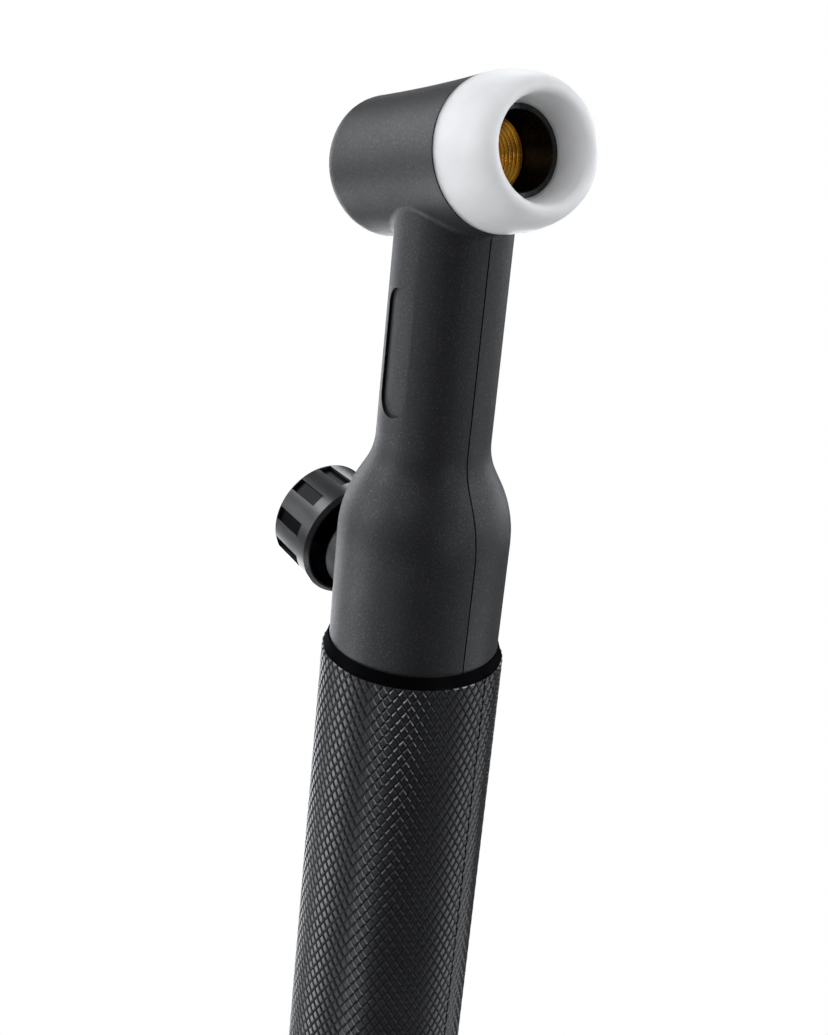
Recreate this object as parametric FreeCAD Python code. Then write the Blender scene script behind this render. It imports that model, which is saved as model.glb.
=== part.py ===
"""TIG torch body: moulded head, neck and gas-valve housing on a knurled tube handle.

Millimetres. The origin is the centre of the cable connector's end face, inside the handle.
+Z runs along the handle towards the head, +X towards the nozzle side. The head axis leans up
from +X and crosses the Z axis at head_z. "Along" values on the head axis and on the valve axis
count from where each axis crosses Z, outwards.
"""
import math
import os

import FreeCAD
import Part

# Fits and gaps
mould_gap = 0.02        # between a moulded piece and the metal inside it
running_gap = 0.05      # between a turning or sliding shaft and its bore
handle_gap = 0.08       # between the handle and the body it slides on
clip_gap = 0.10         # round the stem where it passes the retaining ring
stop_gap = 0.15         # axial room before the stem's land meets the retaining ring
needle_gap = 0.08       # room left between the closed needle and its seat
overcut = 1.0           # how far a cutting tool runs past the face it opens
near = 1.0              # how far round a joint its edges are looked for

# Head
head_tilt = 20.0        # lean of the head axis above square to the handle, degrees
barrel_rear_r = 9.0
barrel_front_r = 9.72
barrel_waist = 0.19     # how far the barrel's side bows in between its two ends
barrel_rear = 18.3      # crossing point to the barrel's rear face
barrel_front = 7.7      # crossing point to the gasket joint
barrel_round = 2.9      # rounding of the rear edge
cap_recess_r = 5.9      # recess that takes the back cap's seal

# Brass head socket
thread_r = 4.7625       # nominal radius of the collet-body and back-cap threads
thread_gap = 0.03
socket_r = 6.4
socket_rear = 13.0
socket_setback = 1.95    # gasket joint back to the brass's front face
nose_wall = 0.54
nose_len = 2.9
front_thread_len = 9.95
web_len = 2.0
web_bore_r = 3.4
thread_chamfer = 0.4
stub_r = 4.4            # stub that the neck tube is brazed into
stub_drop = 11.0
stub_seat_drop = 7.0
gas_port_r = 1.8

# Spigot sleeve and cup gasket
sleeve_r = 6.8
spigot_r = 5.68
spigot_bore_r = 4.95
spigot_reach = 4.1      # how far the spigot stands out past the gasket joint
gasket_step = 0.06      # how far the gasket's side stands out past the barrel's edge
gasket_straight = 1.3   # plain length of the gasket's side before it rounds over
gasket_len = 9.3
gasket_crest_inset = 2.44
gasket_lip = 0.8        # small rounding inside the crest
throat_step = 0.27      # step from the spigot out to the gasket's recess

# Neck and bulb of the jacket
neck_r = 7.5
bulb_r = 11.4
foot_r = 11.3
shoulder_drop = 37.2    # crossing point down to where the neck starts to swell
shoulder_angle = 28.0
hollow_r = 9.5          # concave radius under the neck
crown_r = 16.0          # convex radius on top of the bulb
neck_fillet = 1.2
flank_width = 5.2       # oblong recess on each flank of the neck
flank_len = 17.2
flank_drop = 24.7
flank_depth = 0.4

# Handle seat
mouth_drop = 66.4       # crossing point down to the handle's mouth
foot_depth = 7.6
tail_r = 9.5
tail_len = 18.0
ring_section_r = 0.9
ring_spacing = 9.0
groove_room = 0.3       # groove width beyond the ring's section

# Neck tube, tail tube and their sleeves
tube_r = 3.2
tube_bore_r = 2.0
neck_sleeve_r = 4.3
tail_sleeve_r = 5.0
tail_sleeve_inside = 12.0

# Valve
valve_drop = 60.0
valve_tilt = 4.0
block_r = 7.0
block_half = 9.2
block_socket = 4.0
pocket_r = 2.8
pocket_depth = 0.8
chamber_r = 3.0
chamber_floor = -0.2
seat_r = 1.8
seat_len = 1.4
seat_hole_r = 0.8
outlet_x = 3.0
outlet_r = 1.1
inlet_x = -1.2
inlet_r = 1.0
spot_face = 6.2
spot_face_r = 5.4
washer_len = 0.6
washer_r = 5.0
bonnet_thread_r = 3.6
bonnet_inner = 2.4
hex_flats = 8.4
hex_len = 2.5
bonnet_r = 3.9
bonnet_end = 14.6
stem_thread_r = 2.0
stem_thread_start = 2.2
stem_thread_end = 8.0
stem_pitch = 0.8
valve_turns = 1.5
needle_r = 1.3
needle_half_angle = 30.0
seal_bore_r = 2.6
seal_bore_start = 8.4
land_start = 9.0
land_end = 12.4
seal_section_r = 0.5
seal_places = (9.9, 11.5)
seal_room = 0.1
stem_waist_r = 1.6
stem_r = 1.9
clip_len = 0.4
clip_wall = 0.9

# Boss on the jacket
boss_r = 5.9
boss_end = 14.1
boss_round = 0.8
boss_fillet = 1.0

# Knob
knob_base = 15.4
knob_face = 24.4
knob_base_r = 8.0
knob_face_r = 7.55
collar_len = 2.6
skirt_wall = 0.75       # at the mouth
skirt_root_wall = 1.4   # at the bottom of the hollow
skirt_depth = 5.0
hub_r = 3.6
hub_setback = 0.5
knob_edge = 0.5
land_count = 10
land_turn = -4.5        # first groove's angle from straight up, degrees
groove_width = 1.9      # at the floor
groove_depth = 0.6
groove_stop = 0.6       # rim left between a groove's end and the knob's face
land_bevel = 0.12       # bevel along both long edges of a land
insert_r = 2.6
drive_r = 1.6
drive_flat = 1.15
drive_start = 16.8
drive_end = 21.0
screw_r = 0.8
screw_len = 5.0
screw_head_r = 2.1
screw_head_len = 1.3
screw_recess_r = 2.45
screw_recess_depth = 1.6
screw_slot = 0.5

# Cable connector
connector_len = 22.0
connector_gap = 6.0     # jacket's tail end to the connector's top
cable_thread_r = 4.7625
cable_thread_len = 12.0
connector_hex = 13.0
connector_hex_len = 6.0
connector_collar_r = 5.2
connector_socket = 6.0
connector_bore_r = 2.4
connector_chamfer = 0.6

# Handle
handle_len = 114.0
handle_r = 12.2
handle_bore_r = 10.2
rim_height = 1.5
rim_land = 0.12
handle_end_round = 2.0
inlet_wall = 3.0
cable_inlet_r = 6.5

# Worked-out places
connector_top = connector_len
tail_z = connector_top + connector_gap
foot_z = tail_z + tail_len
mouth_z = foot_z + foot_depth
head_z = mouth_z + mouth_drop
shoulder_z = head_z - shoulder_drop
valve_z = head_z - valve_drop
block_top = valve_z + block_half
block_bottom = valve_z - block_half
tube_seat_top = block_top - block_socket
tube_seat_bottom = block_bottom + block_socket
socket_front = barrel_front - socket_setback
spigot_front = barrel_front + spigot_reach
gasket_round_start = barrel_front + gasket_straight
gasket_front = barrel_front + gasket_len
gasket_r = barrel_front_r + gasket_step
gasket_crest_r = gasket_r - gasket_crest_inset
gasket_throat_r = spigot_r + throat_step
thread_bore_r = thread_r + thread_gap
nose_r = thread_bore_r + nose_wall
hex_start = spot_face + washer_len
hex_end = hex_start + hex_len
clip_start = land_end + stem_pitch * valve_turns + stop_gap
clip_r = stem_r + clip_gap + clip_wall
ring_centre_r = handle_bore_r - handle_gap - ring_section_r
seal_centre_r = seal_bore_r - running_gap - seal_section_r
tail_sleeve_top = tail_z + tail_sleeve_inside
handle_end = mouth_z - handle_len


def at(r, along):
    """Point of a turned profile."""
    return FreeCAD.Vector(r, 0, along)


def line(a, b):
    return Part.LineSegment(at(*a), at(*b)).toShape()


def arc(a, middle, b):
    return Part.Arc(at(*a), at(*middle), at(*b)).toShape()


def curve(a, middle, b):
    """Smooth free curve through three points."""
    spline = Part.BSplineCurve()
    spline.interpolate([at(*a), at(*middle), at(*b)])
    return spline.toShape()


def turned(edges):
    """Solid of revolution about Z from the edges of a closed profile."""
    face = Part.Face(Part.Wire(Part.__sortEdges__(edges)))
    return face.revolve(FreeCAD.Vector(0, 0, 0), FreeCAD.Vector(0, 0, 1), 360)


def turned_points(points):
    """Solid of revolution from straight profile points."""
    edges = [line(a, b) for a, b in zip(points, points[1:] + points[:1])]
    return turned(edges)


def rod(r, start, end):
    return Part.makeCylinder(r, end - start, at(0, start))


def tube(r, bore, start, end):
    return rod(r, start, end).cut(rod(bore, start - overcut, end + overcut))


def prism(flats, start, end):
    """Hexagonal prism about Z."""
    corner = flats / math.sqrt(3)
    turns = [math.radians(60 * i) for i in range(7)]
    ring = [FreeCAD.Vector(corner * math.cos(t), corner * math.sin(t), start) for t in turns]
    return Part.Face(Part.makePolygon(ring)).extrude(FreeCAD.Vector(0, 0, end - start))


def doughnut(centre_r, section_r, along):
    return Part.makeTorus(centre_r, section_r, at(0, along))


def fused(pieces):
    return pieces[0].multiFuse(pieces[1:]).removeSplitter()


def on_head(shape):
    """Place a shape made about Z on the head axis."""
    turn = FreeCAD.Rotation(FreeCAD.Vector(0, 1, 0), 90 - head_tilt)
    moved = shape.copy()
    moved.Placement = FreeCAD.Placement(at(0, head_z), turn)
    return moved


def on_valve(shape):
    """Place a shape made about Z on the valve axis, which points to the knob."""
    turn = FreeCAD.Rotation(FreeCAD.Vector(0, 1, 0), valve_tilt - 90)
    moved = shape.copy()
    moved.Placement = FreeCAD.Placement(at(0, valve_z), turn)
    return moved


# Jacket

def barrel():
    """Outer form of the head: a slightly waisted barrel with a rounded rear edge."""
    rear, front = -barrel_rear, barrel_front
    flat_r = barrel_rear_r - barrel_round
    bend = rear + barrel_round
    half = barrel_round * math.sqrt(0.5)
    middle = ((barrel_rear_r + barrel_front_r) / 2 - barrel_waist, (bend + front) / 2)
    edges = [
        line((0, rear), (flat_r, rear)),
        arc((flat_r, rear), (flat_r + half, bend - half), (barrel_rear_r, bend)),
        curve((barrel_rear_r, bend), middle, (barrel_front_r, front)),
        line((barrel_front_r, front), (0, front)),
        line((0, front), (0, rear)),
    ]
    return on_head(turned(edges))


def shoulder_points():
    """Ends and middles of the two arcs that blend the neck into the bulb."""
    lean = math.radians(shoulder_angle)
    hollow = [(neck_r + hollow_r * (1 - math.cos(t)), shoulder_z - hollow_r * math.sin(t))
              for t in (0, lean / 2, lean)]
    rise = crown_r * math.sin(lean)
    crown_top_r = bulb_r - crown_r * (1 - math.cos(lean))
    straight = (crown_top_r - hollow[-1][0]) / math.tan(lean)
    crown_z = hollow[-1][1] - straight - rise
    crown = [(bulb_r - crown_r * (1 - math.cos(t)), crown_z + crown_r * math.sin(t))
             for t in (lean, lean / 2, 0)]
    return hollow, crown


def stalk():
    """Outer form below the head: neck, bulb, foot in the handle's mouth, and tail."""
    hollow, crown = shoulder_points()
    corners = [crown[-1], (foot_r, mouth_z), (foot_r, foot_z), (tail_r, foot_z), (tail_r, tail_z),
               (0, tail_z), (0, head_z), (neck_r, head_z), hollow[0]]
    edges = [line(a, b) for a, b in zip(corners, corners[1:])]
    edges += [arc(*hollow), line(hollow[-1], crown[0]), arc(*crown)]
    return turned(edges)


def boss():
    post = rod(boss_r, 0, boss_end)
    rim = [e for e in post.Edges if abs(e.BoundBox.ZMin - boss_end) < 1e-6 and len(e.Vertexes) == 1]
    return on_valve(post.makeFillet(boss_round, rim))


def edges_near(shape, test):
    """Edges whose whole length passes a test on points."""
    found = []
    for edge in shape.Edges:
        points = edge.discretize(9)
        if all(test(p) for p in points):
            found.append(edge)
    return found


def along_valve(point):
    lean = math.radians(valve_tilt)
    return (point.z - valve_z) * math.sin(lean) - point.x * math.cos(lean)


def from_valve_axis(point):
    lean = math.radians(valve_tilt)
    return math.hypot(point.y, (point.z - valve_z) * math.cos(lean) + point.x * math.sin(lean))


def from_head_axis(point):
    lean = math.radians(head_tilt)
    return math.hypot(point.y, (point.z - head_z) * math.cos(lean) - point.x * math.sin(lean))


def flank_tool():
    """Cutter for the oblong recess on both flanks of the neck."""
    r = flank_width / 2
    reach = (flank_len - flank_width) / 2
    centre = head_z - flank_drop
    depth = neck_r + overcut
    slab = Part.makeBox(flank_width, 2 * depth, 2 * reach, FreeCAD.Vector(-r, -depth, centre - reach))
    side = FreeCAD.Vector(0, 1, 0)
    ends = [Part.makeCylinder(r, 2 * depth, FreeCAD.Vector(0, -depth, centre + sign * reach), side)
            for sign in (-1, 1)]
    core = rod(neck_r - flank_depth, centre - flank_len, centre + flank_len)
    return fused([slab] + ends).cut(core)


def ring_places():
    middle = (tail_z + foot_z) / 2
    return [middle - ring_spacing / 2, middle + ring_spacing / 2]


def ring_grooves():
    floor = ring_centre_r - ring_section_r - mould_gap
    half = ring_section_r + groove_room / 2
    return [tube(tail_r + overcut, floor, z - half, z + half) for z in ring_places()]


def socket_outline(gap):
    """Outside of the brass head socket, grown by a gap."""
    body = on_head(rod(socket_r + gap, -socket_rear, socket_front - nose_len + gap))
    nose = on_head(rod(nose_r + gap, -socket_rear, socket_front))
    stub = rod(stub_r + gap, head_z - stub_drop - gap, head_z)
    return fused([body, nose, stub])


def jacket_cavity():
    """Space inside the jacket: everything that is moulded into it."""
    g = mould_gap
    tools = [
        socket_outline(g),
        on_head(rod(cap_recess_r, -barrel_rear - overcut, -socket_rear)),
        on_head(rod(sleeve_r + g, socket_front - nose_len, barrel_front + overcut)),
        rod(neck_sleeve_r + g, block_top, head_z - stub_drop),
        rod(block_r + g, block_bottom - g, block_top + g),
        rod(tube_r + g, tail_sleeve_top, block_bottom),
        rod(tail_sleeve_r + g, tail_z - overcut, tail_sleeve_top + g),
        on_valve(rod(hex_flats / math.sqrt(3) + g, spot_face, hex_end + g)),
        on_valve(rod(spot_face_r, 0, hex_start)),
        on_valve(rod(bonnet_r + g, hex_end, boss_end + overcut)),
    ]
    return tools


def jacket():
    body = fused([barrel(), stalk()])
    low, high = sorted((barrel_rear_r, barrel_front_r))
    joint = edges_near(body, lambda p: abs(math.hypot(p.x, p.y) - neck_r) < 0.01 and p.z < head_z
                       and low - near < from_head_axis(p) < high + near)
    body = body.makeFillet(neck_fillet, joint)
    body = body.fuse(boss()).removeSplitter()
    root = edges_near(body, lambda p: abs(from_valve_axis(p) - boss_r) < 0.01
                      and along_valve(p) < boss_end - boss_round - 0.1)
    body = body.makeFillet(boss_fillet, root)
    for tool in [flank_tool()] + ring_grooves() + jacket_cavity():
        body = body.cut(tool)
    return body


# Head pieces

def head_socket():
    """Brass head: thread in front for the collet body, thread behind for the back cap."""
    body = socket_outline(0)
    front_floor = socket_front - front_thread_len
    rear_floor = front_floor - web_len
    c = thread_chamfer
    front = turned_points([(0, front_floor), (thread_bore_r, front_floor), (thread_bore_r, socket_front - c),
                           (thread_bore_r + c, socket_front), (0, socket_front)])
    rear = turned_points([(0, rear_floor), (thread_bore_r, rear_floor), (thread_bore_r, c - socket_rear),
                          (thread_bore_r + c, -socket_rear), (0, -socket_rear)])
    web = rod(web_bore_r, rear_floor, front_floor)
    tube_socket = rod(tube_r + mould_gap, head_z - stub_drop, head_z - stub_seat_drop)
    port = rod(gas_port_r, head_z - stub_seat_drop, head_z)
    trim = on_head(rod(socket_r * 2, socket_front, socket_front + socket_r * 2))
    for tool in (on_head(front), on_head(rear), on_head(web), tube_socket, port, trim):
        body = body.cut(tool)
    return body


def spigot_sleeve():
    """Hard insulating sleeve round the brass nose, drawn out in front as the gasket's spigot."""
    back = socket_front - nose_len + mould_gap
    nose_bore = nose_r + mould_gap
    shape = turned_points([
        (nose_bore, back), (sleeve_r, back), (sleeve_r, barrel_front), (spigot_r, barrel_front),
        (spigot_r, spigot_front), (spigot_bore_r, spigot_front), (spigot_bore_r, socket_front + mould_gap),
        (nose_bore, socket_front + mould_gap)])
    return on_head(shape)


def cup_gasket():
    """White cup gasket with a bull-nosed rim and a flared recess for the cup."""
    centre = at(gasket_crest_r, gasket_round_start)
    reach = gasket_front - gasket_round_start
    ellipse = Part.Ellipse(centre + at(0, reach), centre + at(gasket_r - gasket_crest_r, 0), centre)
    rim = Part.ArcOfEllipse(ellipse, 0, math.pi / 2).toShape()
    lip_r = gasket_crest_r - gasket_lip
    lip_along = gasket_front - gasket_lip
    half = gasket_lip * math.sqrt(0.5)
    bore = spigot_r + mould_gap
    edges = [
        rim,
        arc((gasket_crest_r, gasket_front), (gasket_crest_r - half, lip_along + half), (lip_r, lip_along)),
        line((lip_r, lip_along), (gasket_throat_r, spigot_front)),
        line((gasket_throat_r, spigot_front), (bore, spigot_front)),
        line((bore, spigot_front), (bore, barrel_front + mould_gap)),
        line((bore, barrel_front + mould_gap), (barrel_front_r, barrel_front + mould_gap)),
        line((barrel_front_r, barrel_front + mould_gap), (gasket_r, gasket_round_start)),
    ]
    return on_head(turned(edges))


# Neck and tail pieces

def neck_tube():
    return tube(tube_r, tube_bore_r, tube_seat_top, head_z - stub_seat_drop)


def neck_sleeve():
    return tube(neck_sleeve_r, tube_r + mould_gap, block_top + mould_gap, head_z - stub_drop - mould_gap)


def tail_tube():
    return tube(tube_r, tube_bore_r, connector_top - connector_socket, tube_seat_bottom)


def tail_sleeve():
    return tube(tail_sleeve_r, tube_r + mould_gap, connector_top, tail_sleeve_top)


def cable_connector():
    """Brass tail: tube socket, hexagon, male cable thread and a coned gas bore."""
    c = connector_chamfer
    hex_top = cable_thread_len + connector_hex_len
    thread = rod(cable_thread_r, 0, cable_thread_len)
    nut = prism(connector_hex, cable_thread_len, hex_top)
    collar = rod(connector_collar_r, hex_top, connector_top)
    body = fused([thread, nut, collar])
    cone = Part.makeCone(connector_bore_r + c, connector_bore_r, c)
    socket = rod(tube_r + mould_gap, connector_top - connector_socket, connector_top)
    for tool in (rod(connector_bore_r, 0, connector_top), cone, socket):
        body = body.cut(tool)
    return body


def handle_o_rings():
    return Part.makeCompound([doughnut(ring_centre_r, ring_section_r, z) for z in ring_places()])


def handle():
    """Tube handle with a chamfered mouth round the jacket's foot and a cable inlet at the end."""
    mouth_bore = foot_r + handle_gap
    half = handle_end_round * (1 - math.sqrt(0.5))
    end_r = handle_r - handle_end_round
    corners = [
        (handle_r, handle_end + handle_end_round), (handle_r, mouth_z - rim_height),
        (mouth_bore + rim_land, mouth_z), (mouth_bore, mouth_z), (mouth_bore, foot_z),
        (handle_bore_r, foot_z), (handle_bore_r, handle_end + inlet_wall),
        (cable_inlet_r, handle_end + inlet_wall), (cable_inlet_r, handle_end), (end_r, handle_end)]
    edges = [line(a, b) for a, b in zip(corners, corners[1:])]
    edges.append(arc(corners[-1], (handle_r - half, handle_end + half), corners[0]))
    return turned(edges)


# Valve pieces

def valve_block():
    """Brass block: gas comes in from the tail, round the needle, through the seat and up the neck."""
    body = rod(block_r, block_bottom, block_top)
    seat_floor = chamber_floor - seat_len
    tools = [
        rod(tube_r + mould_gap, tube_seat_top, block_top),
        rod(pocket_r, tube_seat_top - pocket_depth, tube_seat_top),
        rod(tube_r + mould_gap, block_bottom, tube_seat_bottom),
        rod(pocket_r, tube_seat_bottom, tube_seat_bottom + pocket_depth),
        on_valve(rod(seat_hole_r, -outlet_x, seat_floor)),
        on_valve(rod(seat_r + mould_gap, seat_floor, chamber_floor)),
        on_valve(rod(chamber_r, chamber_floor, bonnet_inner)),
        on_valve(rod(bonnet_thread_r, bonnet_inner, spot_face)),
        on_valve(rod(spot_face_r, spot_face, block_r * 2)),
        Part.makeCylinder(outlet_r, tube_seat_top - valve_z, FreeCAD.Vector(outlet_x, 0, valve_z)),
        Part.makeCylinder(inlet_r, valve_z - tube_seat_bottom, FreeCAD.Vector(inlet_x, 0, tube_seat_bottom)),
    ]
    for tool in tools:
        body = body.cut(tool)
    return body


def valve_seat():
    return on_valve(tube(seat_r, seat_hole_r, chamber_floor - seat_len, chamber_floor))


def bonnet_washer():
    return on_valve(tube(washer_r, bonnet_thread_r, spot_face, hex_start))


def bonnet_nut():
    """Bonnet: threaded inner end, hexagon, plain shank, and the bore that the stem runs in."""
    thread = rod(bonnet_thread_r - mould_gap, bonnet_inner, hex_start)
    nut = prism(hex_flats, hex_start, hex_end)
    shank = rod(bonnet_r, hex_end, bonnet_end)
    body = fused([thread, nut, shank])
    clip_groove = rod(clip_r + mould_gap, clip_start - mould_gap, clip_start + clip_len + mould_gap)
    for tool in (rod(stem_thread_r + running_gap, bonnet_inner, seal_bore_start),
                 rod(seal_bore_r, seal_bore_start, bonnet_end), clip_groove):
        body = body.cut(tool)
    return on_valve(body)


def drive_shape(gap):
    """D-shaped drive end of the stem, grown by a gap."""
    post = rod(drive_r + gap, drive_start, drive_end)
    size = 2 * (drive_r + overcut)
    flat = Part.makeBox(size, size, drive_end - drive_start + 2 * overcut,
                        FreeCAD.Vector(drive_flat + gap, -size / 2, drive_start - overcut))
    return post.cut(flat)


def valve_stem():
    """Needle stem: tip, thread, land with two seal grooves, shank and D-shaped drive end."""
    slope = math.tan(math.radians(needle_half_angle))
    tip = chamber_floor + needle_gap - seat_hole_r / slope
    cone_top = tip + needle_r / slope
    body = turned_points([
        (0, tip), (needle_r, cone_top), (needle_r, stem_thread_start), (stem_thread_r, stem_thread_start),
        (stem_thread_r, stem_thread_end), (stem_waist_r, stem_thread_end), (stem_waist_r, land_start),
        (seal_bore_r - running_gap, land_start), (seal_bore_r - running_gap, land_end), (stem_r, land_end),
        (stem_r, drive_start), (0, drive_start)])
    body = fused([body, drive_shape(0)])
    floor = seal_centre_r - seal_section_r - running_gap
    half = seal_section_r + seal_room / 2
    for place in seal_places:
        body = body.cut(tube(seal_bore_r, floor, place - half, place + half))
    body = body.cut(rod(screw_r + mould_gap, drive_end - screw_len, drive_end))
    return on_valve(body)


def stem_o_rings():
    return on_valve(Part.makeCompound([doughnut(seal_centre_r, seal_section_r, s) for s in seal_places]))


def stem_clip():
    """Open retaining ring in the bonnet's groove."""
    ring = tube(clip_r, clip_r - clip_wall, clip_start, clip_start + clip_len)
    opening = Part.makeBox(clip_r * 2, clip_wall, clip_len, FreeCAD.Vector(0, -clip_wall / 2, clip_start))
    return on_valve(ring.cut(opening))


def knob_outside():
    """Tapered knob with a plain collar at its base and a bevelled outer edge."""
    e = knob_edge
    return turned_points([(0, knob_base), (knob_base_r - e, knob_base), (knob_base_r, knob_base + e),
                          (knob_face_r, knob_face - e), (knob_face_r - e, knob_face), (0, knob_face)])


def knob_groove():
    """Flat-bottomed groove that follows the taper, opened out by the bevels on the lands' edges."""
    start = knob_base + collar_len
    end = knob_face - groove_stop
    taper = math.atan2(knob_base_r - knob_face_r, knob_face - knob_base)
    surface = knob_face_r + groove_stop * math.tan(taper)
    floor = surface - groove_depth
    half = groove_width / 2
    out = half + land_bevel + overcut
    corners = [(floor, -half), (surface - land_bevel, -half), (surface + overcut, -out),
               (surface + overcut, out), (surface - land_bevel, half), (floor, half), (floor, -half)]
    face = Part.Face(Part.makePolygon([FreeCAD.Vector(x, y, end) for x, y in corners]))
    groove = face.extrude(at(0, (start - end) / math.cos(taper)))
    groove.rotate(at(surface, end), FreeCAD.Vector(0, 1, 0), -math.degrees(taper))
    return groove


def knob_hollow():
    """Hollow under the skirt, round the hub."""
    floor = knob_base + skirt_depth
    space = Part.makeCone(knob_base_r - skirt_wall, knob_face_r - skirt_root_wall, skirt_depth, at(0, knob_base))
    return space.cut(rod(hub_r, knob_base + hub_setback, floor))


def valve_knob():
    """Hollow fluted knob with a bore for its brass bush and a recess for its screw."""
    body = knob_outside()
    for i in range(land_count):
        groove = knob_groove()
        groove.rotate(at(0, 0), at(0, 1), land_turn + 360 / land_count * i)
        body = body.cut(groove)
    recess = rod(screw_recess_r, knob_face - screw_recess_depth, knob_face + overcut)
    for tool in (knob_hollow(), recess, rod(screw_r + mould_gap, drive_end, knob_face),
                 rod(insert_r, knob_base, drive_end)):
        body = body.cut(tool)
    return on_valve(body)


def knob_insert():
    start = knob_base + hub_setback
    body = rod(insert_r - mould_gap, start, drive_end)
    body = body.cut(rod(stem_r + mould_gap, start - overcut, drive_start))
    return on_valve(body.cut(drive_shape(mould_gap)))


def knob_screw():
    """Slotted screw from the knob's face into the stem's end."""
    seat = knob_face - screw_recess_depth
    top = seat + screw_head_len
    head = rod(screw_head_r, seat, top)
    slot = Part.makeBox(screw_head_r * 4, screw_slot, screw_head_len,
                        FreeCAD.Vector(-screw_head_r * 2, -screw_slot / 2, top - screw_slot))
    shank = rod(screw_r, drive_end - screw_len + overcut, seat)
    return on_valve(fused([head.cut(slot), shank]))


PIECES = [
    jacket, head_socket, spigot_sleeve, cup_gasket, neck_tube, neck_sleeve, tail_tube, tail_sleeve,
    cable_connector, handle_o_rings, handle, valve_block, valve_seat, bonnet_washer, bonnet_nut,
    valve_stem, stem_o_rings, stem_clip, valve_knob, knob_insert, knob_screw,
]


def main():
    os.makedirs("parts", exist_ok=True)
    for piece in PIECES:
        shape = piece()
        shape.exportStep("parts/" + piece.__name__ + ".step")
        print(piece.__name__, "solids", len(shape.Solids), "valid", shape.isValid(),
              "volume", round(shape.Volume, 2))


main()
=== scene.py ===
"""TIG torch, dressed: finishes for the CAD nodes, a knurled handle, cut threads, studio and camera.

Everything is in metres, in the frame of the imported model: the origin is the centre of the cable
connector's end face, +Z runs up the handle to the head and +X points to the nozzle side.
"""

import logging
import math
from collections.abc import Callable
from dataclasses import dataclass, field
from enum import Enum

import bmesh
import bpy
from mathutils import Matrix, Vector

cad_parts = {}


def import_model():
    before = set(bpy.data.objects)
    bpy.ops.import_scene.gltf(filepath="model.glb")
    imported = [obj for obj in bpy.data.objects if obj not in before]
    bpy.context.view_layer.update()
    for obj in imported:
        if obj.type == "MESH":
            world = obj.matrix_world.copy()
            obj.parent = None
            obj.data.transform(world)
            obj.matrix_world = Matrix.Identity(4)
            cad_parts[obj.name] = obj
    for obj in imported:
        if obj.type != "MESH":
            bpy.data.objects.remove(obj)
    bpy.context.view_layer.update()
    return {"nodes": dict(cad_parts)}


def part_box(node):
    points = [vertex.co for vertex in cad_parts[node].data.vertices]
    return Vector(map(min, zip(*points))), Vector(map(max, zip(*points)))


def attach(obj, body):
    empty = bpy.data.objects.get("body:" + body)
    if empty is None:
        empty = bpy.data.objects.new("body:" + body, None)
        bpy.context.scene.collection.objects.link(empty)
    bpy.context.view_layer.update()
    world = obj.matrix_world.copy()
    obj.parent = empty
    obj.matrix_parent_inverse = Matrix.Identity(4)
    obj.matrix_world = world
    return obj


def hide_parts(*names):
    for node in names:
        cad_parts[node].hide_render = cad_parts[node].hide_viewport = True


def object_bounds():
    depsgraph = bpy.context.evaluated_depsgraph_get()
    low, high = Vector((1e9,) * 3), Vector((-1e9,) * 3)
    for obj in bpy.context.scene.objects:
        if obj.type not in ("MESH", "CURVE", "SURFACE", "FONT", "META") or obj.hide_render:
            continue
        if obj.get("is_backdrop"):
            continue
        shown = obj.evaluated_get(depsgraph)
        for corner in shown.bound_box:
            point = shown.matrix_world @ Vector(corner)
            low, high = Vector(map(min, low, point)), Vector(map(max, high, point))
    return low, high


log = logging.getLogger("tig_torch")

MM = 0.001
Triple = tuple[float, float, float]
Colour = Triple
Span = tuple[float, float]

# What a Math node takes: another node's output or a plain number
Number = "Wire | float"

X_AXIS = Vector((1, 0, 0))
Y_AXIS = Vector((0, 1, 0))
Z_AXIS = Vector((0, 0, 1))
ORIGIN = Vector((0, 0, 0))

HEAD_HEIGHT = 120 * MM
HEAD_LIFT_DEG = 20
VALVE_HEIGHT = 60 * MM
VALVE_LIFT_DEG = 4
CREST_RADIUS = 12.2 * MM
GROOVE_RADIUS = 11.95 * MM

# The Mix node's sockets for colours share their names with others, so they go by number
MIX_FACTOR, MIX_FIRST, MIX_SECOND, MIX_RESULT = 0, 6, 7, 2

# Flat black mixed into gaps, grooves and recesses as painted shade
GAP_SHADE_BLACK: Colour = (0.002, 0.002, 0.0024)
WELD = 0.001 * MM


def slanted(side: int, lift_deg: float) -> Vector:
    """Unit vector towards +X or -X that is lifted from level by an angle."""
    lift = math.radians(lift_deg)
    return Vector((side * math.cos(lift), 0, math.sin(lift)))


def outward(turn: float, lift: float) -> Vector:
    """Unit vector from the torch to a viewer at an azimuth and an elevation in radians."""
    return Vector((math.sin(turn) * math.cos(lift), -math.cos(turn) * math.cos(lift), math.sin(lift)))


class Line(Enum):
    """Straight lines that pieces are turned about: a point on the line and its direction."""

    HANDLE = (ORIGIN, Z_AXIS)
    HEAD = (Vector((0, 0, HEAD_HEIGHT)), slanted(1, HEAD_LIFT_DEG))
    VALVE = (Vector((0, 0, VALVE_HEIGHT)), slanted(-1, VALVE_LIFT_DEG))

    @property
    def point(self) -> Vector:
        """Where the line crosses the handle's axis."""
        return self.value[0]

    @property
    def direction(self) -> Vector:
        """Unit vector along the line."""
        return self.value[1]

    def placement(self) -> Matrix:
        """Matrix that takes a piece made about Z onto this line."""
        return Matrix.Translation(self.point) @ self.direction.to_track_quat("Z", "Y").to_matrix().to_4x4()


class Ridge(Enum):
    """Which way a thread's ridge points."""

    INWARD = -1
    OUTWARD = 1


class Element(Enum):
    """What a selection is made of, against its name in a mesh."""

    FACE = "faces"
    EDGE = "edges"
    VERT = "verts"


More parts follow.
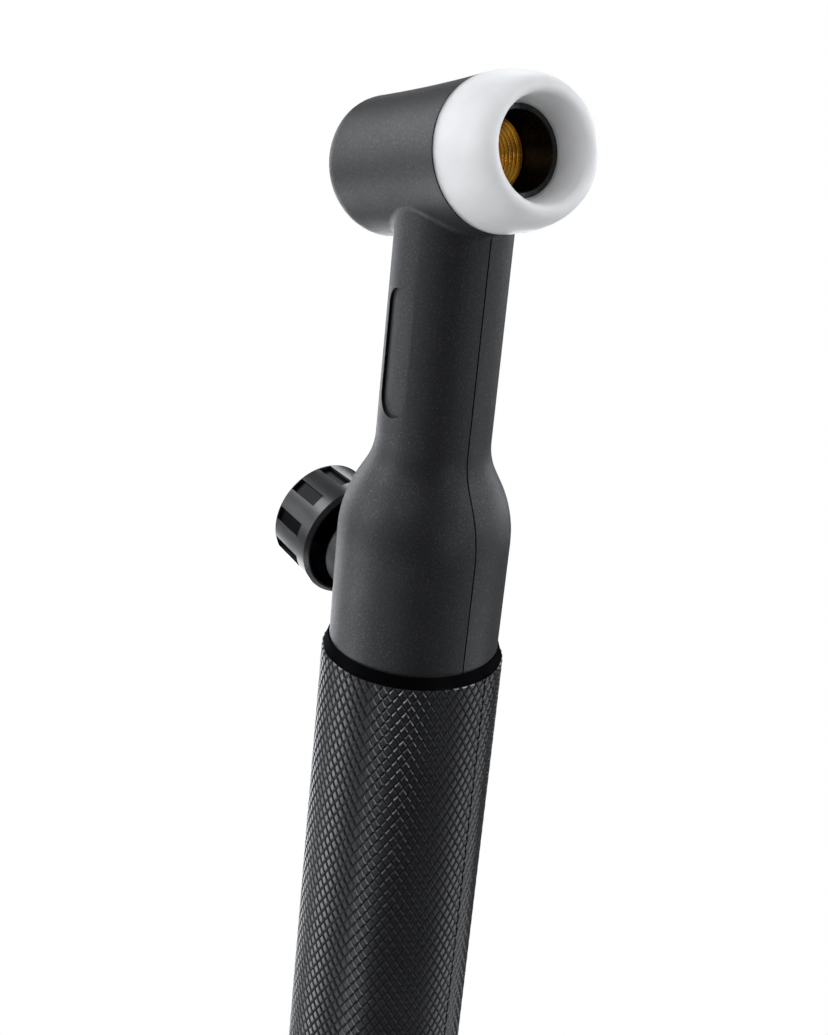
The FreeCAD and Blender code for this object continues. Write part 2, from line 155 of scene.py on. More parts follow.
@dataclass
class Wire:
    """A node socket that takes part in Python expressions."""

    shader: "Shader"
    socket: bpy.types.NodeSocket

    def __add__(self, other: Number) -> "Wire":
        """Sum."""
        return self.shader.maths("ADD", self, other)

    def __radd__(self, other: float) -> "Wire":
        """Sum with a number on the left."""
        return self.shader.maths("ADD", other, self)

    def __sub__(self, other: Number) -> "Wire":
        """Difference."""
        return self.shader.maths("SUBTRACT", self, other)

    def __rsub__(self, other: float) -> "Wire":
        """Difference with a number on the left."""
        return self.shader.maths("SUBTRACT", other, self)

    def __mul__(self, other: Number) -> "Wire":
        """Product."""
        return self.shader.maths("MULTIPLY", self, other)

    def __rmul__(self, other: float) -> "Wire":
        """Product with a number on the left."""
        return self.shader.maths("MULTIPLY", other, self)

    def __abs__(self) -> "Wire":
        """Size without its sign."""
        return self.shader.maths("ABSOLUTE", self)


class Shader:
    """One material's node tree, and the short ways this script writes it."""

    def __init__(self, name: str, tree: bpy.types.NodeTree | None = None) -> None:
        """Starts an empty material, or clears another node tree to write in.

        Args:
            name: The material's name.
            tree: A node tree that isn't a material's, such as the world's.
        """
        if tree is None:
            self.material = bpy.data.materials.new(name)
            self.material.use_nodes = True
            tree = self.material.node_tree
        self.tree = tree
        self.tree.nodes.clear()
        self.place = self.node("ShaderNodeTexCoord").outputs["Object"]

    def node(self, kind: str, settings: dict | None = None, values: dict | None = None) -> bpy.types.Node:
        """Adds a node, sets it, and then fills its sockets.

        Args:
            kind: The node's type.
            settings: Attributes that are set before the sockets.
            values: Socket name or number against a value, a Wire or a socket.

        Returns:
            The new node.
        """
        made = self.tree.nodes.new(kind)
        for key, value in (settings or {}).items():
            setattr(made, key, value)
        for key, value in (values or {}).items():
            self.feed(made.inputs[key], value)
        return made

    def feed(self, socket: bpy.types.NodeSocket, value: object) -> None:
        """Links a Wire or a socket into a socket, or sets a plain value on it."""
        if isinstance(value, Wire):
            self.tree.links.new(value.socket, socket)
        elif isinstance(value, bpy.types.NodeSocket):
            self.tree.links.new(value, socket)
        elif isinstance(value, tuple) and len(value) == 3 and socket.type == "RGBA":
            socket.default_value = (*value, 1)
        else:
            socket.default_value = value

    def maths(self, operation: str, *values: Number) -> Wire:
        """Adds a Math node on numbers or Wires."""
        made = self.node("ShaderNodeMath", {"operation": operation}, dict(enumerate(values)))
        return Wire(self, made.outputs[0])

    def vector(self, operation: str, *values: object) -> bpy.types.Node:
        """Adds a Vector Math node on sockets or plain vectors."""
        return self.node("ShaderNodeVectorMath", {"operation": operation}, dict(enumerate(values)))

    def along(self, origin: Vector, direction: Vector) -> Wire:
        """Distance of the surface point from an origin, measured along a direction."""
        local = self.vector("SUBTRACT", self.place, tuple(origin))
        dot = self.vector("DOT_PRODUCT", local.outputs[0], tuple(direction))
        return Wire(self, dot.outputs["Value"])

    def radius(self, line: Line) -> Wire:
        """Distance of the surface point from a line."""
        local = self.vector("SUBTRACT", self.place, tuple(line.point))
        cross = self.vector("CROSS_PRODUCT", local.outputs[0], tuple(line.direction))
        return Wire(self, self.vector("LENGTH", cross.outputs[0]).outputs["Value"])

    def noise(self, size: float, detail: float = 3, roughness: float = 0.5,
              stretch: Triple = (1, 1, 1)) -> Wire:
        """Noise whose largest features are about a given size.

        Args:
            size: Feature size in metres.
            detail: Number of finer layers.
            roughness: Strength of the finer layers.
            stretch: Scale of the pattern along X, Y and Z.

        Returns:
            The noise value, from 0 to 1.
        """
        mapped = self.node("ShaderNodeMapping", {}, {"Vector": self.place, "Scale": stretch})
        values = {"Vector": mapped.outputs[0], "Scale": 1 / size, "Detail": detail, "Roughness": roughness}
        return Wire(self, self.node("ShaderNodeTexNoise", {}, values).outputs[0])

    def wave(self, angle: Wire) -> Wire:
        """Sine of an angle, brought to between 0 and 1."""
        return self.maths("SINE", angle) * 0.5 + 0.5

    def step(self, value: Wire, low: float, high: float) -> Wire:
        """Smooth step: 0 below low, 1 above high. Swap the two for a falling step."""
        made = self.node("ShaderNodeMapRange", {"interpolation_type": "SMOOTHSTEP"},
                         {"Value": value, "From Min": low, "From Max": high})
        return Wire(self, made.outputs[0])

    def mix(self, mask: Wire, first: "Colour | Wire", second: "Colour | Wire") -> Wire:
        """Mixes two colours by a mask."""
        made = self.node("ShaderNodeMix", {"data_type": "RGBA"},
                         {MIX_FACTOR: mask, MIX_FIRST: first, MIX_SECOND: second})
        return Wire(self, made.outputs[MIX_RESULT])

    def bump(self, height: Wire, distance: float, strength: float, base: "Wire | None" = None) -> Wire:
        """Turns a height from 0 to 1 into a normal.

        Args:
            height: The height pattern.
            distance: Height of a full step in metres.
            strength: Share of the effect.
            base: Normal that this bump lies on.

        Returns:
            The bent normal.
        """
        values = {"Height": height, "Distance": distance, "Strength": strength}
        if base is not None:
            values["Normal"] = base
        return Wire(self, self.node("ShaderNodeBump", {}, values).outputs[0])

    def surface(self, fixed: dict[str, object], gap: "Wire | None" = None,
                **varying: Wire) -> bpy.types.Material:
        """Ends the material in a Principled shader.

        Args:
            fixed: Socket name against the value that is the same all over.
            gap: Mask of the narrow gaps and grooves, where a flat black is mixed in as painted shade.
            varying: Base_Color, Roughness, Normal and such, against the Wires that feed them.

        Returns:
            The finished material.
        """
        values = {**fixed, **{name.replace("_", " "): wire for name, wire in varying.items()}}
        shader = self.node("ShaderNodeBsdfPrincipled", {}, values)
        # The gap mask paints shade: a flat black diffuse laid over the shader
        if gap is not None:
            black = self.node("ShaderNodeBsdfDiffuse", {}, {"Color": GAP_SHADE_BLACK})
            shader = self.node("ShaderNodeMixShader", {},
                               {0: gap, 1: shader.outputs[0], 2: black.outputs[0]})
        self.node("ShaderNodeOutputMaterial", {}, {"Surface": shader.outputs[0]})
        return self.material


@dataclass(frozen=True)
class GrainedPlastic:
    """Matt moulded plastic with a fine sparkle grain, and painted shade in a parting line and past a shut
    line at the gasket.

    The parting line starts at a radius round the head's line, and the shut line's place is measured
    along that line.
    """

    slot: str = "jacket_black"
    dark: Colour = (0.0070, 0.0071, 0.0082)
    light: Colour = (0.040, 0.0405, 0.045)
    specular: float = 0.42
    roughness: float = 0.47
    grain_size: float = 0.28 * MM
    grain_height: float = 0.04 * MM
    grain_bright: Span = (0.5, 0.74)
    cloud_size: float = 6 * MM
    parting_edge: Span = (0.13 * MM, 0.052 * MM)
    parting_depth: float = 0.2 * MM
    parting_from_head: Span = (9.9 * MM, 10.3 * MM)
    shut_line: Span = (7.36 * MM, 7.5 * MM)

    def make(self) -> bpy.types.Material:
        """Builds the material."""
        sh = Shader(self.slot)
        grain = sh.noise(self.grain_size, detail=2.5, roughness=0.7)
        cloud = sh.noise(self.cloud_size, detail=2)
        speck = sh.step(grain, *self.grain_bright)
        across = abs(sh.along(ORIGIN, Y_AXIS))
        below_head = sh.step(sh.radius(Line.HEAD), *self.parting_from_head)
        groove = sh.step(across, *self.parting_edge) * below_head
        shut = sh.step(sh.along(*Line.HEAD.value), *self.shut_line)
        colour = sh.mix(speck * (0.5 + 0.6 * cloud), self.dark, self.light)
        grained = sh.bump(grain, self.grain_height, 0.75)
        # The parting groove and the jacket past the shut line get painted shade through the gap mask
        return sh.surface({"Specular IOR Level": self.specular}, gap=sh.maths("MAXIMUM", groove, shut),
                          Base_Color=colour, Roughness=self.roughness + 0.14 * cloud - 0.12 * speck,
                          Normal=sh.bump(1 - groove, self.parting_depth, 1.0, grained))


@dataclass(frozen=True)
class KnurledPlastic:
    """Black plastic of the handle: glossy slopes painted a lighter grey as their highlight, between rougher
    crowns, with a thin mould seam; the seam and the mouth's chamfer get painted shade.
    """

    slot: str = "handle_black"
    dark: Colour = (0.004, 0.004, 0.0045)
    # The flank colour is a painted highlight on the diamonds' slopes
    flank: Colour = (0.045, 0.045, 0.048)
    specular: float = 0.5
    slope_roughness: float = 0.13
    crown_roughness: float = 0.2
    grain_size: float = 0.3 * MM
    grain_height: float = 0.012 * MM
    cloud_size: float = 8 * MM
    crown_radii: Span = (CREST_RADIUS - 0.07 * MM, CREST_RADIUS - 0.03 * MM)
    slope_radii: Span = (GROOVE_RADIUS + 0.02 * MM, GROOVE_RADIUS + 0.06 * MM)
    plain_radii: Span = (GROOVE_RADIUS - 0.03 * MM, GROOVE_RADIUS - 0.1 * MM)
    rim_heights: Span = (51.95 * MM, 52.05 * MM)
    rim_shade_share: float = 0.97
    seam_deg: float = 18.0
    seam_edge: Span = (0.14 * MM, 0.056 * MM)
    seam_depth: float = 0.1 * MM
    seam_front: Span = (0.0, 1 * MM)

    def make(self) -> bpy.types.Material:
        """Builds the material."""
        sh = Shader(self.slot)
        grain = sh.noise(self.grain_size, detail=3)
        cloud = sh.noise(self.cloud_size, detail=2)
        radius = sh.radius(Line.HANDLE)
        crown = sh.step(radius, *self.crown_radii)
        slope_highlight = sh.step(radius, *self.slope_radii) * (1 - crown)
        plain = sh.step(radius, *self.plain_radii)
        rim = sh.step(sh.along(ORIGIN, Z_AXIS), *self.rim_heights)
        seam = self.seam(sh)
        # Painted highlight: the slopes are mixed towards the lighter flank colour
        colour = sh.mix(slope_highlight * (0.6 + 0.5 * cloud), self.dark, self.flank)
        rough = self.slope_roughness + self.crown_roughness * (crown + plain) + 0.08 * grain + 0.05 * cloud
        grained = sh.bump(grain, self.grain_height, 0.45)
        # The seam and the mouth's chamfer above the rim height get painted shade through the gap mask
        return sh.surface({"Specular IOR Level": self.specular},
                          gap=sh.maths("MAXIMUM", seam, rim * self.rim_shade_share), Base_Color=colour,
                          Roughness=rough, Normal=sh.bump(1 - seam, self.seam_depth, 0.9, grained))

    def seam(self, sh: Shader) -> Wire:
        """Mask of the mould seam, which runs down one side of the handle."""
        turn = math.radians(self.seam_deg)
        across = abs(sh.along(ORIGIN, Vector((-math.sin(turn), math.cos(turn), 0))))
        outwards = sh.along(ORIGIN, Vector((math.cos(turn), math.sin(turn), 0)))
        return sh.step(across, *self.seam_edge) * sh.step(outwards, *self.seam_front)


@dataclass(frozen=True)
class SmoothPlastic:
    """Hard moulded plastic with soft mottling and faint handling marks.

    Milky plastic lets light in under its surface. A shaded bore is the pair of radii between which painted
    shade on an inner wall about the head's line gives way to the plastic's own shine.
    """

    slot: str
    base: Colour
    shade: Colour
    roughness: float
    marked: float = 0.08
    specular: float = 0.5
    milky: float = 0.0
    milky_depth: float = 5 * MM
    shaded_bore: Span | None = None
    shade_share: float = 0.75
    cloud_size: float = 3.5 * MM
    cloud_fade: Span = (0.3, 0.75)
    mark_size: float = 0.5 * MM
    mark_height: float = 0.008 * MM

    def make(self) -> bpy.types.Material:
        """Builds the material."""
        sh = Shader(self.slot)
        cloud = sh.noise(self.cloud_size, detail=3)
        marks = sh.noise(self.mark_size, detail=4, roughness=0.65, stretch=(1, 1, 0.3))
        fixed = {"Specular IOR Level": self.specular, "Subsurface Weight": self.milky,
                 "Subsurface Radius": (1.0, 1.0, 1.0), "Subsurface Scale": self.milky_depth}
        bore_shade = None
        # Painted shade: flat black on the inner wall inside the bore's radii
        if self.shaded_bore is not None:
            shine = sh.step(sh.radius(Line.HEAD), *self.shaded_bore)
            bore_shade = (1 - shine) * self.shade_share
        return sh.surface(fixed, gap=bore_shade,
                          Base_Color=sh.mix(sh.step(cloud, *self.cloud_fade), self.base, self.shade),
                          Roughness=self.roughness + self.marked * (marks - 0.5),
                          Normal=sh.bump(marks, self.mark_height, 0.25))


@dataclass(frozen=True)
class FlutedPlastic:
    """Glossy black plastic of the knob, with painted shade in the flutes' floors and in the hollow.

    The ends lie along the valve's line, and the radii are those of the lands there.
    """

    slot: str = "knob_black"
    base: Colour = (0.022, 0.022, 0.024)
    shade: Colour = (0.031, 0.031, 0.033)
    specular: float = 0.5
    roughness: float = 0.3
    marked: float = 0.12
    ends: Span = (15.4 * MM, 24.4 * MM)
    end_fade: Span = (0.06 * MM, 0.12 * MM)
    radii: Span = (8.0 * MM, 7.55 * MM)
    flute_depths: Span = (0.36 * MM, 0.5 * MM)
    shade_share: float = 0.85
    cloud_size: float = 3.5 * MM
    cloud_fade: Span = (0.3, 0.75)
    mark_size: float = 0.5 * MM
    mark_height: float = 0.008 * MM

    def make(self) -> bpy.types.Material:
        """Builds the material."""
        sh = Shader(self.slot)
        cloud = sh.noise(self.cloud_size, detail=3)
        marks = sh.noise(self.mark_size, detail=4, roughness=0.65)
        # The flutes' floors and the hollow get painted shade through the gap mask
        return sh.surface({"Specular IOR Level": self.specular}, gap=self.flutes(sh) * self.shade_share,
                          Base_Color=sh.mix(sh.step(cloud, *self.cloud_fade), self.base, self.shade),
                          Roughness=self.roughness + self.marked * (marks - 0.5),
                          Normal=sh.bump(marks, self.mark_height, 0.25))

    def flutes(self, sh: Shader) -> Wire:
        """Mask of what lies deeper than the lands, the knob's two faces left out."""
        place = sh.along(*Line.VALVE.value)
        start, end = self.ends
        taper = (self.radii[0] - self.radii[1]) / (end - start)
        sunk = self.radii[0] - taper * (place - start) - sh.radius(Line.VALVE)
        past_start = sh.step(place - start, *self.end_fade)
        before_end = sh.step(end - place, *self.end_fade)
        return sh.step(sunk, *self.flute_depths) * past_start * before_end


@dataclass(frozen=True)
class TurnedMetal:
    """Metal with fine tool lines round its own axis and a little tarnish.

    The shadow is the pair of radii between which a thread's ridge fades into painted shade at its root.
    """

    slot: str
    base: Colour
    tarnish: Colour
    line: Line
    roughness: float = 0.22
    tool_pitch: float = 0.11 * MM
    tool_wander: float = 0.06 * MM
    tool_depth: float = 0.004 * MM
    cloud_size: float = 2.2 * MM
    wander_size: float = 0.25 * MM
    shadow: Span | None = None
    # Colour of the painted shade in a thread's root
    shade: Colour = (0.50, 0.19, 0.015)

    def make(self) -> bpy.types.Material:
        """Builds the material."""
        sh = Shader(f"{self.slot}_{self.line.name.lower()}")
        cloud = sh.noise(self.cloud_size, detail=4)
        wander = sh.noise(self.wander_size, detail=2) * self.tool_wander
        place = sh.along(*self.line.value) + sh.radius(self.line) + wander
        lines = sh.wave(place * (2 * math.pi / self.tool_pitch))
        colour = sh.mix(sh.step(cloud, 0.45, 0.8), self.base, self.tarnish)
        if self.shadow is not None:
            # Painted shade towards the roots of a thread's ridge
            colour = sh.mix(sh.step(sh.radius(self.line), *self.shadow), colour, self.shade)
        return sh.surface({"Metallic": 1.0}, Base_Color=colour,
                          Roughness=self.roughness + 0.14 * cloud + 0.05 * lines,
                          Normal=sh.bump(lines, self.tool_depth, 0.3))


@dataclass(frozen=True)
class SoftRubber:
    """Black seal rubber with a matt bloom."""

    slot: str = "seal_rubber"
    base: Colour = (0.010, 0.010, 0.010)
    bloom: Colour = (0.032, 0.032, 0.031)
    specular: float = 0.35
    roughness: float = 0.5
    cloud_size: float = 0.9 * MM
    cloud_height: float = 0.01 * MM

    def make(self) -> bpy.types.Material:
        """Builds the material."""
        sh = Shader(self.slot)
        cloud = sh.noise(self.cloud_size, detail=4)
        return sh.surface({"Specular IOR Level": self.specular},
                          Base_Color=sh.mix(sh.step(cloud, 0.5, 0.8), self.base, self.bloom),
                          Roughness=self.roughness + 0.25 * cloud,
                          Normal=sh.bump(cloud, self.cloud_height, 0.3))


@dataclass(frozen=True)
class BraidedSleeve:
    """Cream glass-fibre sleeving: two families of fine strands that cross on the slant."""

    slot: str = "sleeve_cream"
    base: Colour = (0.62, 0.54, 0.40)
    # The gap colour between the strands is painted shade
    gap: Colour = (0.34, 0.27, 0.17)
    specular: float = 0.4
    roughness: float = 0.75
    strands: int = 24
    strand_rise: float = 0.55 * MM
    strand_height: float = 0.06 * MM

    def make(self) -> bpy.types.Material:
        """Builds the material."""
        sh = Shader(self.slot)
        turns = sh.maths("ARCTAN2", sh.along(ORIGIN, Y_AXIS), sh.along(ORIGIN, X_AXIS)) * self.strands
        rise = sh.along(ORIGIN, Z_AXIS) * (2 * math.pi / self.strand_rise)
        weave = sh.maths("MAXIMUM", sh.wave(rise + turns), sh.wave(rise - turns))
        return sh.surface({"Specular IOR Level": self.specular},
                          Base_Color=sh.mix(sh.step(weave, 0.35, 0.85), self.gap, self.base),
                          Roughness=self.roughness - 0.15 * weave,
                          Normal=sh.bump(weave, self.strand_height, 0.6))


def start_clean() -> None:
    """Leaves edit mode and selects nothing."""
    if bpy.context.object and bpy.context.object.mode != "OBJECT":
        bpy.ops.object.mode_set(mode="OBJECT")
    bpy.ops.object.select_all(action="DESELECT")


def begin_edit(name: str) -> bpy.types.Object:
    """Names the primitive that was just added, applies its place and opens it in edit mode."""
    piece = bpy.context.object
    piece.name = name
    piece.data.name = name
    bpy.ops.object.transform_apply(location=True, rotation=True, scale=True)
    bpy.ops.object.mode_set(mode="EDIT")
    return piece


def pick(test: Callable[[Vector], bool], kind: Element = Element.FACE) -> None:
    """Selects the faces, edges or vertices whose middle passes a test.

    Args:
        test: Says of a point whether it is picked.
        kind: What is picked.
    """
    bpy.ops.mesh.select_mode(type=kind.name)
    bpy.ops.mesh.select_all(action="DESELECT")
    mesh = bpy.context.object.data
    shape = bmesh.from_edit_mesh(mesh)
    for item in getattr(shape, kind.value):
        corners = [item.co] if kind is Element.VERT else [v.co for v in item.verts]
        item.select_set(test(sum(corners, Vector()) / len(corners)))
    shape.select_flush_mode()
    bmesh.update_edit_mesh(mesh)


def close_seams() -> None:
    """Joins corners that coincide and points the faces outwards."""
    bpy.ops.mesh.select_all(action="SELECT")
    bpy.ops.mesh.remove_doubles(threshold=WELD)
    bpy.ops.mesh.normals_make_consistent(inside=False)


def end_edit(piece: bpy.types.Object, smooth_deg: float) -> None:
    """Closes seams, leaves edit mode and smooths edges softer than an angle."""
    close_seams()
    bpy.ops.object.mode_set(mode="OBJECT")
    bpy.ops.object.shade_smooth_by_angle(angle=math.radians(smooth_deg))


def finish_piece(piece: bpy.types.Object, body: str, material: bpy.types.Material) -> None:
    """Gives a piece its material, in a single material slot, and its body."""
    piece.data.materials.clear()
    piece.data.materials.append(material)
    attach(piece, body)
    log.info("piece %s: %d faces, rides on %s", piece.name, len(piece.data.polygons), body)


def dress(node: bpy.types.Object, material: bpy.types.Material) -> None:
    """Gives a CAD node a material."""
    if node.material_slots:
        for slot in node.material_slots:
            slot.link = "OBJECT"
            slot.material = material
    else:
        node.data.materials.append(material)
    log.info("node %s: %s", node.name, material.name)


@dataclass
class ScrewThread:
    """Ridge of a V-shaped screw thread, cut as real turns.

    The ridge is a trapezium carried round its line by a screw modifier. Its foot is sunk a little in
    the wall that it stands on, and is given as a share of the pitch, as the crest is of the foot.
    """

    name: str
    line: Line
    root_radius: float
    start: float
    length: float
    side: Ridge
    pitch: float = 0.794 * MM
    depth: float = 0.40 * MM
    sunk: float = 0.06 * MM
    foot_share: float = 0.96
    crest_share: float = 0.14
    start_deg: float = 180.0
    steps: int = 72
    smooth_deg: float = 40

    def build(self) -> bpy.types.Object:
        """Makes the turns.

        Returns:
            The thread as one closed mesh, in place.
        """
        start_clean()
        height = self.depth + self.sunk
        middle = self.root_radius + self.side.value * (self.depth - self.sunk) / 2
        centre = (middle, 0, self.start)
        bpy.ops.mesh.primitive_plane_add(size=1, location=centre, rotation=(math.pi / 2, 0, 0))
        piece = begin_edit(self.name)
        bpy.ops.transform.resize(value=(height, 1, self.pitch * self.foot_share), center_override=centre)
        crest = middle + self.side.value * height / 2
        pick(lambda point: abs(point.x - crest) < height / 4, Element.EDGE)
        bpy.ops.transform.resize(value=(1, 1, self.crest_share), center_override=centre)
        bpy.ops.mesh.select_all(action="SELECT")
        bpy.ops.mesh.delete(type="ONLY_FACE")
        bpy.ops.object.mode_set(mode="OBJECT")
        screw = piece.modifiers.new("turns", "SCREW")
        screw.steps = self.steps
        screw.render_steps = self.steps
        screw.iterations = max(1, round(self.length / self.pitch))
        screw.screw_offset = self.pitch
        bpy.ops.object.modifier_apply(modifier=screw.name)
        piece.data.transform(self.line.placement() @ Matrix.Rotation(math.radians(self.start_deg), 4, "Z"))
        bpy.ops.object.mode_set(mode="EDIT")
        bpy.ops.mesh.select_all(action="SELECT")
        bpy.ops.mesh.fill_holes(sides=4)
        end_edit(piece, self.smooth_deg)
        return piece


@dataclass
class KnurledHandle:
    """Tube handle with raised diamonds all round, a smooth chamfered mouth and a rounded end."""

    columns: int = 58
    row: float = 2.1 * MM
    crest_radius: float = CREST_RADIUS
    groove_radius: float = GROOVE_RADIUS
    mouth_bore: float = 11.38 * MM
    foot_depth: float = 7.6 * MM
    bore: float = 10.2 * MM
    inlet: float = 6.5 * MM
    inlet_wall: float = 3.0 * MM
    rim_land: float = 0.12 * MM
    rim_height: float = 1.5 * MM
    end_round: float = 2.0 * MM
    round_steps: int = 6
    flank: float = 0.23 * MM
    crown: float = 0.02 * MM
    wall_margin: float = 0.1 * MM
    smooth_deg: float = 18
    ends: Span = field(init=False)

    def __post_init__(self) -> None:
        """Reads the handle's two ends from the frame."""
        low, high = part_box("handle")
        self.ends = (low.z, high.z)

    def rows(self) -> int:
        """Number of whole knurl rows between the rounded end and the mouth's chamfer."""
        return int((self.ends[1] - self.rim_height - self.ends[0] - self.end_round) / self.row)

    def profile(self) -> list[tuple[float, float]]:
        """Radius and height of each ring, from the inlet round the outside and back inside."""
        bottom, top = self.ends
        rows = self.rows()
        low = top - self.rim_height - rows * self.row
        rings = [(self.inlet, bottom)]
        for i in range(self.round_steps + 1):
            turn = math.radians(90 * i / self.round_steps)
            rings.append((self.groove_radius - self.end_round * (1 - math.sin(turn)),
                          bottom + self.end_round * (1 - math.cos(turn))))
        rings += [(self.groove_radius, low + i * self.row) for i in range(rows + 1)]
        rings += [
            (self.mouth_bore + self.rim_land, top),
            (self.mouth_bore, top),
            (self.mouth_bore, top - self.foot_depth),
            (self.bore, top - self.foot_depth),
            (self.bore, bottom + self.inlet_wall),
            (self.inlet, bottom + self.inlet_wall),
            (self.inlet, bottom),
        ]
        return rings

    def build(self) -> bpy.types.Object:
        """Makes the handle.

        Returns:
            The handle as one closed mesh, in place.
        """
        start_clean()
        rings = self.profile()
        radius, height = rings[0]
        bpy.ops.mesh.primitive_circle_add(vertices=self.columns, radius=radius, location=(0, 0, height))
        piece = begin_edit("knurled_handle")
        bpy.ops.mesh.select_mode(type="EDGE")
        bpy.ops.mesh.select_all(action="SELECT")
        for next_radius, next_height in rings[1:]:
            bpy.ops.mesh.extrude_region_move(
                TRANSFORM_OT_translate={"value": (0, 0, next_height - height)})
            scale = next_radius / radius
            bpy.ops.transform.resize(value=(scale, scale, 1), center_override=(0, 0, next_height))
            radius, height = next_radius, next_height
        close_seams()
        self.cut_diamonds()
        end_edit(piece, self.smooth_deg)
        return piece

    def cut_diamonds(self) -> None:
        """Turns the outer wall's grid into raised diamonds with bevelled sides.

        Each cell of the grid is poked into four triangles, and the cells' own edges are dissolved, so
        that the two triangles across such an edge make one diamond.
        """
        top = self.ends[1] - self.rim_height
        low = top - self.rows() * self.row
        half_row = self.row / 2

        def on_wall(point: Vector) -> bool:
            """Whether a point lies on the outer wall between the lowest and the highest ring."""
            return point.xy.length > self.groove_radius - self.wall_margin and low < point.z < top

        def between_rings(point: Vector) -> bool:
            """Whether a point lies half-way between two rings, as the poked cells' middles do."""
            return round((top - point.z) / half_row) % 2 == 1

        pick(on_wall)
        bpy.ops.mesh.poke(offset=0)
        mesh = bpy.context.object.data
        shape = bmesh.from_edit_mesh(mesh)
        bpy.ops.mesh.select_mode(type="EDGE")
        bpy.ops.mesh.select_all(action="DESELECT")
        for edge in shape.edges:
            of_cell = not any(between_rings(v.co) for v in edge.verts)
            of_triangles = len(edge.link_faces) == 2 and all(len(f.verts) == 3 for f in edge.link_faces)
            edge.select_set(of_cell and of_triangles)
        bmesh.update_edit_mesh(mesh)
        bpy.ops.mesh.dissolve_edges(use_verts=False)
        pick(lambda point: on_wall(point) and between_rings(point), Element.VERT)
        to_corner = 1 / math.cos(math.pi / self.columns)
        bpy.ops.transform.resize(value=(to_corner, to_corner, 1), center_override=(0, 0, 0))
        pick(on_wall)
        depth = self.crest_radius - self.groove_radius - self.crown
        bpy.ops.mesh.inset(thickness=self.flank, depth=depth, use_individual=True, use_even_offset=True)
        bpy.ops.mesh.poke(offset=self.crown)


@dataclass
class Torch:
    """The whole torch: dresses each sub-assembly's CAD nodes and adds the pieces made here."""

    nodes: dict[str, bpy.types.Object]
    head_thread_root: float = 4.7925 * MM
    cable_thread_root: float = 4.7625 * MM

    @staticmethod
    def brass(line: Line) -> bpy.types.Material:
        """Makes the brass for pieces turned about a line."""
        return TurnedMetal("brass", (0.90, 0.50, 0.085), (0.74, 0.37, 0.05), line).make()

    @staticmethod
    def copper(line: Line) -> bpy.types.Material:
        """Makes the copper for pieces turned about a line."""
        return TurnedMetal("copper", (0.80, 0.42, 0.28), (0.50, 0.24, 0.15), line).make()

    def dress_all(self, names: list[str], material: bpy.types.Material) -> None:
        """Gives several CAD nodes one material."""
        for name in names:
            dress(self.nodes[name], material)

    def head(self) -> None:
        """Jacket, gasket, spigot and the brass head with its two threads."""
        gasket = SmoothPlastic("gasket_white", (0.76, 0.755, 0.75), (0.72, 0.715, 0.71),
                               roughness=0.48, marked=0.12, specular=0.25, milky=1.0)
        spigot = SmoothPlastic("spigot_black", (0.003, 0.003, 0.003), (0.006, 0.006, 0.006),
                               roughness=0.27, specular=0.4, shaded_bore=(4.99 * MM, 5.03 * MM))
        self.dress_all(["jacket"], GrainedPlastic().make())
        self.dress_all(["cup_gasket"], gasket.make())
        self.dress_all(["spigot_sleeve"], spigot.make())
        self.dress_all(["head_socket"], self.brass(Line.HEAD))
        # The turns' brass is a brighter copy, a painted highlight on the thread's crests, with painted shade
        # at the roots
        turns = TurnedMetal("brass_turns", (1.0, 0.55, 0.07), (1.0, 0.50, 0.05), Line.HEAD,
                            roughness=0.14, shadow=(4.46 * MM, 4.68 * MM)).make()
        front = ScrewThread("collet_thread_turns", Line.HEAD, self.head_thread_root,
                            start=-3.6 * MM, length=9.2 * MM, side=Ridge.INWARD)
        rear = ScrewThread("cap_thread_turns", Line.HEAD, self.head_thread_root,
                           start=-12.4 * MM, length=5.9 * MM, side=Ridge.INWARD)
        for thread in (front, rear):
            finish_piece(thread.build(), "torch_body", turns)

    def valve(self) -> None:
        """Needle valve and knob."""
        steel = TurnedMetal("stainless", (0.40, 0.40, 0.41), (0.30, 0.30, 0.31), Line.VALVE, roughness=0.3)
        seat = SmoothPlastic("seat_white", (0.80, 0.80, 0.77), (0.72, 0.72, 0.68), roughness=0.4)
        self.dress_all(["valve_block", "bonnet_nut", "knob_insert"], self.brass(Line.VALVE))
        self.dress_all(["valve_stem", "knob_screw", "stem_clip"], steel.make())
        self.dress_all(["bonnet_washer"], self.copper(Line.VALVE))
        self.dress_all(["valve_seat"], seat.make())
        self.dress_all(["stem_o_rings"], SoftRubber().make())
        self.dress_all(["valve_knob"], FlutedPlastic().make())

    def tail(self) -> None:
        """Tubes, sleeves, seals and the cable connector with its thread."""
        brass = self.brass(Line.HANDLE)
        self.dress_all(["cable_connector"], brass)
        self.dress_all(["neck_tube", "tail_tube"], self.copper(Line.HANDLE))
        self.dress_all(["neck_sleeve", "tail_sleeve"], BraidedSleeve().make())
        self.dress_all(["handle_o_rings"], SoftRubber().make())
        thread = ScrewThread("cable_thread_turns", Line.HANDLE, self.cable_thread_root,
                             start=0.8 * MM, length=10.3 * MM, side=Ridge.OUTWARD, depth=0.3 * MM)
        finish_piece(thread.build(), "torch_body", brass)

    def handle(self) -> None:
        """Knurled handle in place of the plain CAD tube."""
        piece = KnurledHandle().build()
        material = KnurledPlastic().make()
        finish_piece(piece, "handle_tube", material)
        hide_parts("handle")
        self.dress_all(["handle"], material)


